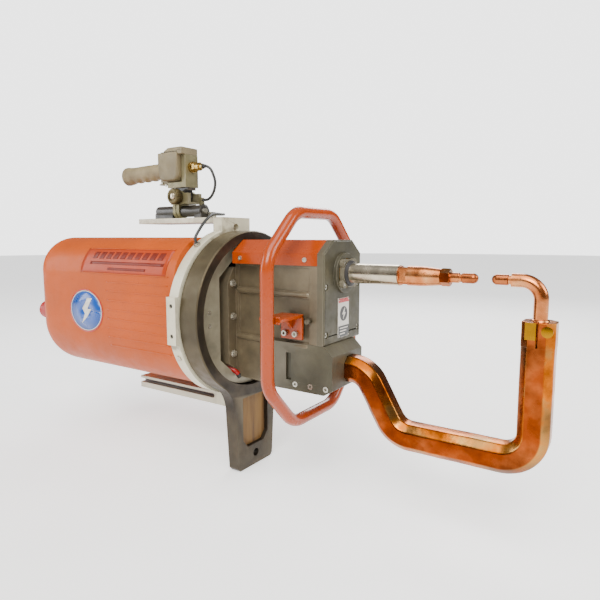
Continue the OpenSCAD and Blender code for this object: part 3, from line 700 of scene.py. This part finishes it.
def oval(x, s, a, b, ring0, ring1, count=56):
    return [[(x + a * r * math.cos(t * 2 * math.pi / count), s + b * r * math.sin(t * 2 * math.pi / count))
             for t in range(count + 1)] for r in (ring0, (ring0 + ring1) / 2, ring1)]


def span(x0, x1, s0, s1, slant=0.0, across=10, along=24):
    rows = []
    for i in range(across + 1):
        s = s0 + (s1 - s0) * i / across
        shift = slant * i / across
        rows.append([(x0 + shift + (x1 - x0) * k / along, s) for k in range(along + 1)])
    return rows


LABEL = {"x0": -326, "x1": -70, "s0": 130, "s1": 184}
BADGE = (-320, 264)


def make_cover_details():
    x0, x1, s0, s1 = LABEL["x0"], LABEL["x1"], LABEL["s0"], LABEL["s1"]
    patch("label_panel", span(x0, x1, s0, s1, -8), 0.5, PANEL)
    edge = FINISH["orange_shell"]
    patch("label_edge_top", span(x0, x1, s0 - 1.2, s0 + 0.8, 0, 2), 0.9, edge, thick=0.8)
    patch("label_edge_foot", span(x0 - 8, x1, s1 - 0.8, s1 + 1.2, 0, 2), 0.9, edge, thick=0.8)
    for k in range(10):
        left = x0 + 30 + k * 21.5
        patch(f"label_block_{k}", span(left, left + 15, s0 + 9, s0 + 24, -4, 6, 6), 0.8, PRINT)
    patch("label_rule_1", span(x0 + 24, x1 - 14, s0 + 30, s0 + 36, -2, 3), 0.8, PRINT)
    patch("label_rule_2", span(x0 + 82, x1 - 62, s0 + 42, s0 + 47, -2, 3), 0.8, PRINT)
    for k in range(8):
        s = 199 + k * 18.5
        patch(f"louvre_{k}", span(-250, -72, s, s + 3.0, 0, 4, 30), 0.5, edge, thick=0.9)
    bx, bs = BADGE
    patch("badge_disc", oval(bx, bs, 56, 45, 0.02, 0.90), 0.7, BLUE)
    patch("badge_line", oval(bx, bs, 56, 45, 0.90, 0.93), 0.85, WHITE)
    patch("badge_rim", oval(bx, bs, 56, 45, 0.95, 1.0), 0.8, RED)
    bolt = [(-27, 6, 22), (-16, -2, 14), (-4, -12, 5), (-3.9, -12, 19), (7, -4, 9), (16, -9, 0), (27, -15, -14)]
    patch("badge_bolt", [[(bx + a + (b - a) * k / 4, bs + t) for k in range(5)] for t, a, b in bolt], 1.0, WHITE)


# ---------- handle ----------

def make_grip():
    rings = []
    x = -219.0
    while x > -350.01:
        t = (-219 - x) / 131
        r = 16.6 + 0.8 * math.sin(t * math.pi) + 4.0 * max(0, (t - 0.72) / 0.28) ** 1.6 if t < 0.955 else 21.0
        end = max(0.0, (t - 0.93) / 0.07)
        r = min(r, 21.0) * math.sqrt(max(0.0, 1 - end ** 2.2)) if end > 0 else r
        ring = []
        for k in range(48):
            a = 2 * math.pi * k / 48
            low = max(0.0, -math.sin(a))
            wave = 0.0
            if 0.10 < t < 0.84:
                wave = 2.7 * (0.5 - 0.5 * math.cos((t - 0.10) / 0.185 * 2 * math.pi)) * low ** 1.5
            groove = 0.5 if 0.02 < t < 0.05 or 0.86 < t < 0.875 else 0.0
            rr = max(0.4, r - wave - groove)
            ring.append(at(x, -4 + rr * math.cos(a), 287 - 4 * t + rr * 1.04 * math.sin(a)))
        rings.append(ring)
        x -= 1.6 if t < 0.92 else 0.7
    loft("grip_body", rings, FINISH["grip_plastic"], "head", "grip_plastic", smooth=60, replaces=("grip",))


def make_switch_box():
    mat = FINISH["box_plastic"]
    body = corners(-219, -162, -30, 18, 300, 321)
    for y, r in ((-30, 11), (-26, 14), (14, 14), (18, 12)):
        body += disc_points(-204, y, 277, r, "Y") + disc_points(-176, y, 277, r, "Y")
    hull("box_body", body, mat, "head", 2.0, 3, replaces=("switch_box",))
    hull("box_gasket", corners(-212, -153, -27.4, 17.4, 320.5, 322.6), DARK_RUBBER_AND_HOLE_SHADE, "head", 0.4)
    cap = corners(-202, -152, -28, 18, 322.4, 324) + corners(-190, -152, -27, 17, 326, 330.3)
    hull("box_cap", cap, mat, "head", 1.6, 3)
    hull("box_nose", corners(-163, -150, -28, 18, 316, 330.0), mat, "head", 1.4, 3)
    for i, (x, y) in enumerate([(-184, -21), (-184, 11), (-158, -21), (-158, 11)]):
        lathe(f"box_screw_{i}", (x, y, 329.8), (0, 0, 1), [(3.1, 0), (3.1, 0.7), (2.6, 1.1), (1.2, 1.15), (1.0, 0.5)],
              FINISH["screw_steel"], "head", "screw_steel", 24)
    for i, y in enumerate((-13, 2.3)):
        points = corners(-230, -206, y, y + 3.5, 262, 269.5) + corners(-226, -206, y, y + 3.5, 257.5, 260)
        hull(f"trigger_ear_{i}", points, mat, "head", 0.6)
    lathe("trigger_pin_head", (-224, -14.2, 262), (0, -1, 0), [(2.6, 0), (2.6, 0.6), (1.8, 1.1)],
          FINISH["screw_steel"], "head", "screw_steel", 20)
    lathe("box_pin_dot", (-208, -17.4, 256), (0, -1, 0), [(3.0, 0), (3.0, 0.8), (2.2, 1.3), (0.8, 1.4)],
          FINISH["screw_steel"], "head", "screw_steel", 24)


def make_knob():
    def ridges(t, r, h):
        return 0.75 * math.cos(t * 26) if r > 15 and 1.5 < h < 13.5 else 0.0
    profile = [(5, 0), (13, 0), (15.4, 0.8), (15.7, 2), (15.7, 13), (15.2, 14.4), (13.4, 15.2), (10.4, 15.2),
               (9.4, 14.4), (6.6, 14.4), (6.2, 15.2), (5.4, 15.8), (3.6, 16.3), (1.6, 16.5)]
    lathe("knob_disc", (-171, -21.5, 231), (0, -1, 0), profile[:9], FINISH["knob_metal"], "knob", "knob_metal",
          208, ridges, smooth=45, replaces=("clamp_knob",))
    lathe("knob_dome", (-171, -21.5, 231), (0, -1, 0), [(6.9, 12)] + profile[9:], FINISH["rod_chrome"], "knob",
          "rod_chrome", 40, smooth=60)


def make_cables():
    tilt = [(-118, 0, 291), (-110, 0, 291), (-99, 1, 285), (-93, 3, 273), (-91, 6, 259), (-96, 9, 245),
            (-107, 13, 233), (-120, 16, 226), (-130, 17, 225), (-137, 17, 225)]
    swing = [(-137, 17, 214), (-133, 17, 214), (-128, 17.5, 211.5), (-125, 18, 206.5), (-123, 18, 201),
             (-120.5, 17.5, 196.5), (-117.5, 17, 195), (-115, 17, 195)]
    fixed = [(-111, 26, 195), (-111, 29, 195), (-109, 33.5, 195), (-104.5, 36.5, 195), (-99, 37, 195),
             (-94, 34, 195), (-90, 27, 194.5), (-84, 12, 194), (-76, -6, 194), (-67, -24, 193), (-58, -42, 190),
             (-51, -60, 183), (-46, -78, 172), (-43, -93, 159), (-43, -102, 146), (-43, -99, 136)]
    cable = FINISH["cable_black"]
    loop = tube("cable_loop", smooth_route(tilt), 2.8, cable, None, "cable_black", replaces=("cable_tilt",))
    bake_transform(loop)
    link = tube("cable_link", smooth_route(swing), 2.8, cable, None, "cable_black", replaces=("cable_swing",))
    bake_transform(link)
    tube("cable_run", smooth_route(fixed), 2.8, cable, "gun", "cable_black", replaces=("cable_fixed",))
    lathe("cable_relief", (-119.5, 0, 291), (1, 0, 0), [(4.6, 0), (4.6, 2), (3.9, 2.4), (4.3, 3), (3.6, 6),
          (3.9, 6.6), (3.3, 9), (2.9, 10)], DARK_RUBBER_AND_HOLE_SHADE, "head", "black_rubber", 24, smooth=50)


def make_shunt():
    """Eight thin copper leaves from the lower bus round to the rod's clamp."""
    for k in range(8):
        r = 28.5 + k * 1.0
        path = [at(82.6 + (36 - r), 0, 32), at(82.6 + (36 - r), 0, 20)]
        for degrees in range(0, 181, 9):
            a = math.radians(degrees)
            path.append(at(118 - r * math.cos(a), 0, 8 - r * math.sin(a)))
        path += [at(118 + r, 0, 30), at(118 + r, 0, 57.5)]
        leaf = [(-21.5, -0.35), (21.5, -0.35), (21.5, 0.35), (-21.5, 0.35)]
        obj = tube(f"shunt_leaf_{k}", path, 1, FINISH["copper"], None, "copper", section=leaf,
                   replaces=("flex_shunt",) if k == 0 else ())
        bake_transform(obj)


# ---------- loop handle ----------

def make_loop():
    bend = 56
    route = [(60, 190), (141, 115), (141, -99), (68, -175), (-68, -175), (-141, -99), (-141, 115), (-60, 190)]
    path = bend_route(route, bend, lambda y, z: (150, y, z), closed=True, steps=18, straight=12)
    gloss = FINISH["orange_gloss"]
    tube("loop_tube", path, 11, gloss, "gun", "orange_gloss", count=28, closed=True, smooth=80,
         replaces=("loop_handle",))
    for i, s in enumerate((-1, 1)):
        plate = [(x, s * y, z) for x in (126, 170) for y in (64.5, 131) for z in (12, 18)]
        hull(f"loop_arm_{i}", plate, gloss, "gun", 1.2)
        tab = [(x, s * y, z) for x in (126, 170) for y in (64.4, 70.2) for z in (-26, 17)]
        hull(f"loop_tab_{i}", tab, gloss, "gun", 1.2)
        rib = [(x, s * 70, z) for x in (145, 151) for z in (-8, 13)] + [(x, s * 92, 13) for x in (145, 151)]
        hull(f"loop_rib_{i}", rib, gloss, "gun", 0.6)
        for j, z in enumerate((10.6, 19.4)):
            bead = [(130 + 1.5 * k, s * (130.4 + 0.5 * math.sin(k * 1.9)), z) for k in range(26)]
            tube(f"loop_bead_{i}{j}", smooth_route(bead, 2), 2.3, gloss, "gun", "orange_gloss", count=10, smooth=80)


# ---------- lower arm ----------

def octagon(half, cut, round_off=2.4):
    base = [(-half, -half + cut), (-half + cut, -half), (half - cut, -half), (half, -half + cut),
            (half, half - cut), (half - cut, half), (-half + cut, half), (-half, half - cut)]
    out = []
    for i in range(8):
        a, b, c = Vector(base[i - 1]), Vector(base[i]), Vector(base[(i + 1) % 8])
        p, q = b + (a - b).normalized() * round_off, b + (c - b).normalized() * round_off
        for k in range(4):
            t = k / 3
            out.append(tuple((1 - t) ** 2 * p + 2 * t * (1 - t) * b + t * t * q))
    return out


def make_arm():
    gold = FINISH["copper_gold"]
    path = bend_route([(140, -80), (258, -80), (315, -180), (528, -180), (528, -6)], 44,
                      lambda x, z: (x, 0, z), steps=18, straight=5)
    obj = tube("arm_bar", path, 1, gold, "gun", "copper_gold", section=octagon(22.6, 11), smooth=60,
               replaces=("lower_arm",))
    for vertex in obj.data.vertices:
        p = vertex.co
        n = noise.noise(p * 28) * 0.00035 + noise.noise(p * 70) * 0.00012
        vertex.co += Vector((n, n * 0.6, n))
    for i, (x0, x1) in enumerate(((505.2, 527.1), (528.9, 550.8))):
        inner = 1 if i == 0 else -1
        face = x1 if i == 0 else x0
        outer = x0 if i == 0 else x1
        shape = [(face, -22.8), (face, 22.8), (outer + inner * 11, 22.8), (outer, 11.8),
                 (outer, -11.8), (outer + inner * 11, -22.8)]
        hull(f"arm_jaw_{i}", [(x, y, z) for x, y in shape for z in (-7, 29.8)], gold, "gun", 1.3, 3)
    lathe("arm_washer", (541, -22.6, 18), (0, -1, 0), [(6.5, 0), (7.8, 0), (7.8, 1.2), (6.5, 1.5)],
          FINISH["bronze"], "gun", "bronze", 32)
    hull("arm_plate", corners(512, 526.6, -23.7, -22.4, 5, 29.6), FINISH["bronze"], "gun", 0.5)
    lathe("arm_collar", (528, 0, 29.4), (0, 0, 1), [(10.2, 0), (12.6, 0.2), (12.2, 1.6), (10.4, 2.6), (10.05, 2.8)],
          FINISH["copper"], "gun", "copper", 40, smooth=60, caps=(False, False))


# ---------- body details ----------

def make_name_plate():
    hull("plate_base", corners(210, 211.2, -19, 19, -26, 43), WHITE, "gun", 0.4)
    hull("plate_band", corners(211, 211.6, -18.2, 18.2, 35, 42.2), RED, "gun", 0.2)
    hull("plate_foot", corners(211, 211.6, -18.2, 18.2, -25.2, -6), BLACK, "gun", 0.2)
    for i, z in enumerate((-11, -16, -21)):
        hull(f"plate_rule_{i}", corners(211.5, 211.9, -14, 14 - 5 * i, z, z + 2), WHITE, "gun", 0.1)
    hull("plate_shape", disc_points(211, 0, 15, 13) + disc_points(211.6, 0, 15, 13), BLACK, "gun", 0.2)
    bolt = [(2, 10), (-6, -1), (-1, -1), (-3, -10), (6, 2), (1, 2), (4, 10)]
    points = [at(x, y, z + 15) for x in (211.55, 212.0) for y, z in bolt]
    n = len(bolt)
    faces = [tuple(range(n)), tuple(range(n, 2 * n))] + [(k, (k + 1) % n, n + (k + 1) % n, n + k) for k in range(n)]
    make("plate_bolt", points, faces, WHITE, "gun", "cream_paint")
    for i, (y, z) in enumerate(((-16, 40), (16, 40), (-16, -23), (16, -23))):
        lathe(f"plate_rivet_{i}", (211.3, y, z), (1, 0, 0), [(1.6, 0), (1.5, 0.6), (0.8, 1.0)], FINISH["screw_steel"],
              "gun", "screw_steel", 16)


def make_ribs():
    """Rounded ribs that stand along both sides of the housing."""
    for i, s in enumerate((-1, 1)):
        for j, z in enumerate((50, -38)):
            ridge = [(9, s * 42.5, z), (14, s * 45.5, z), (40, s * 48.5, z), (80, s * 52.4, z), (120, s * 56.4, z),
                     (150, s * 58.8, z), (172, s * 60.0, z), (178, s * 57.5, z)]
            tube(f"rib_{i}{j}", smooth_route(ridge, 4), 5.2, FINISH["taupe_casting"], "gun", "taupe_casting",
                 count=20, smooth=70)


def make_body_details():
    for i, s in enumerate((-1, 1)):
        hose = [(-26, s * 58, -96), (-12, s * 56, -100), (2, s * 52, -106), (9, s * 47, -113), (10, s * 44, -120)]
        if s < 0:
            tube("hose_red", smooth_route(hose[:4]), 4.6, HOSE_RED, "gun", "red_plastic", smooth=80)
            lathe("hose_end", (8.5, -47.5, -112.4), (0.2, 0.45, -0.8), [(5.4, 0), (5.4, 7), (4.6, 7.6)], DARK_RUBBER_AND_HOLE_SHADE, "gun",
                  "black_rubber", 24)
    lathe("socket_insert", (-548, -88, -26), (-1, 0, 0), [(15.8, 0), (15.8, 3), (14.6, 3.4), (5, 3.4)], DARK_RUBBER_AND_HOLE_SHADE, "gun",
          "black_rubber", 40)
    for i in range(4):
        a = math.radians(45 + 90 * i)
        lathe(f"socket_pin_{i}", (-551, -88 + 9 * math.cos(a), -26 + 9 * math.sin(a)), (-1, 0, 0),
              [(2.2, 0), (2.2, 5), (1.4, 6)], FINISH["gland_brass"], "gun", "gland_brass", 20)
    lathe("socket_collar", (-507, -88, -26), (-1, 0, 0), [(25.1, 0), (27.4, 0.6), (27.4, 6.4), (25.1, 7.4)],
          FINISH["red_plastic"], "gun", "red_plastic", 56, caps=(False, False))
    # dark cones fill the pad holes as painted shade
    for s in (-1, 1):
        for z in (-27, 27):
            lathe(f"pad_hole_shade_{s + 1}{z + 27}", (-43, s * 163.6, z), (0, -s, 0),
                  [(3.97, 0), (3.9, 1), (1.2, 3)], DARK_RUBBER_AND_HOLE_SHADE, "gun", "black_rubber", 24)
    hull("vent_boss", corners(176, 186, -71, -63, 4, 10), STEEL_DULL, "gun", 1.0)
    lathe("vent_knob", (181, -66, 7), (0, -1, 0), [(5, 0), (5, 6), (4.2, 7.6), (2, 8)], STEEL_DULL, "gun",
          "screw_steel", 28)


def make_floor():
    s = Surface("floor_paper", rough=0.75)
    tone = s.ramp(s.noise(3, 3), [(0.3, (0.80, 0.80, 0.795, 1)), (0.7, (0.84, 0.84, 0.835, 1))])
    s.shader.inputs["Emission Color"].default_value = (1.0, 1.0, 1.0, 1.0)
    s.shader.inputs["Emission Strength"].default_value = 0.6
    material = s.done(tone)
    mesh = bpy.data.meshes.new("floor")
    count = 96
    points = [(14 * math.cos(2 * math.pi * k / count), 14 * math.sin(2 * math.pi * k / count), -0.0245)
              for k in range(count)]
    mesh.from_pydata(points, [], [tuple(range(count))])
    mesh.materials.append(material)
    floor = bpy.data.objects.new("floor", mesh)
    SCENE.collection.objects.link(floor)


# ---------- the whole scene ----------

make_camera()
make_world()
make_lights()
make_cables()
finish_nodes()
SOFT_EDGES = {
    "flange_plate": 1.2, "top_plate": 0.8, "bottom_rail": 0.8, "hub_plate": 0.6,
    "body_housing": 1.4, "front_plate": 0.9, "top_cover": 1.2, "arm_block": 1.0, "rod_flange": 0.6,
    "rear_socket": 0.8, "housing_bolts": 0.4, "side_screws": 0.3, "front_screws": 0.3, "cover_screws": 0.3,
    "rod_flange_screws": 0.25, "hub_screws": 0.25, "upper_holder": 0.4, "upper_nut": 0.5,
    "upper_shank": 0.4, "upper_cap": 0.3, "lower_cap": 0.3, "lower_holder": 0.4, "yoke_block": 0.9,
    "tilt_lug": 0.7, "handle_bracket": 1.0, "handle_gland": 0.5, "pivot_barrel": 0.6, "cable_elbow": 0.9,
    "trigger": 0.6, "pocket_pad": 0.3, "arm_clamp_screw": 0.3, "flange_glands": 0.4, "barrel_shaft": 0.5,
    "tilt_pin": 0.5, "weld_rod": 0.6,
}
for node_name, edge_width in SOFT_EDGES.items():
    soften(node_name, edge_width)
make_hanger()
make_cover()
make_cover_details()
make_grip()
make_switch_box()
make_knob()
make_shunt()
make_loop()
make_arm()
make_name_plate()
make_ribs()
make_body_details()
make_floor()
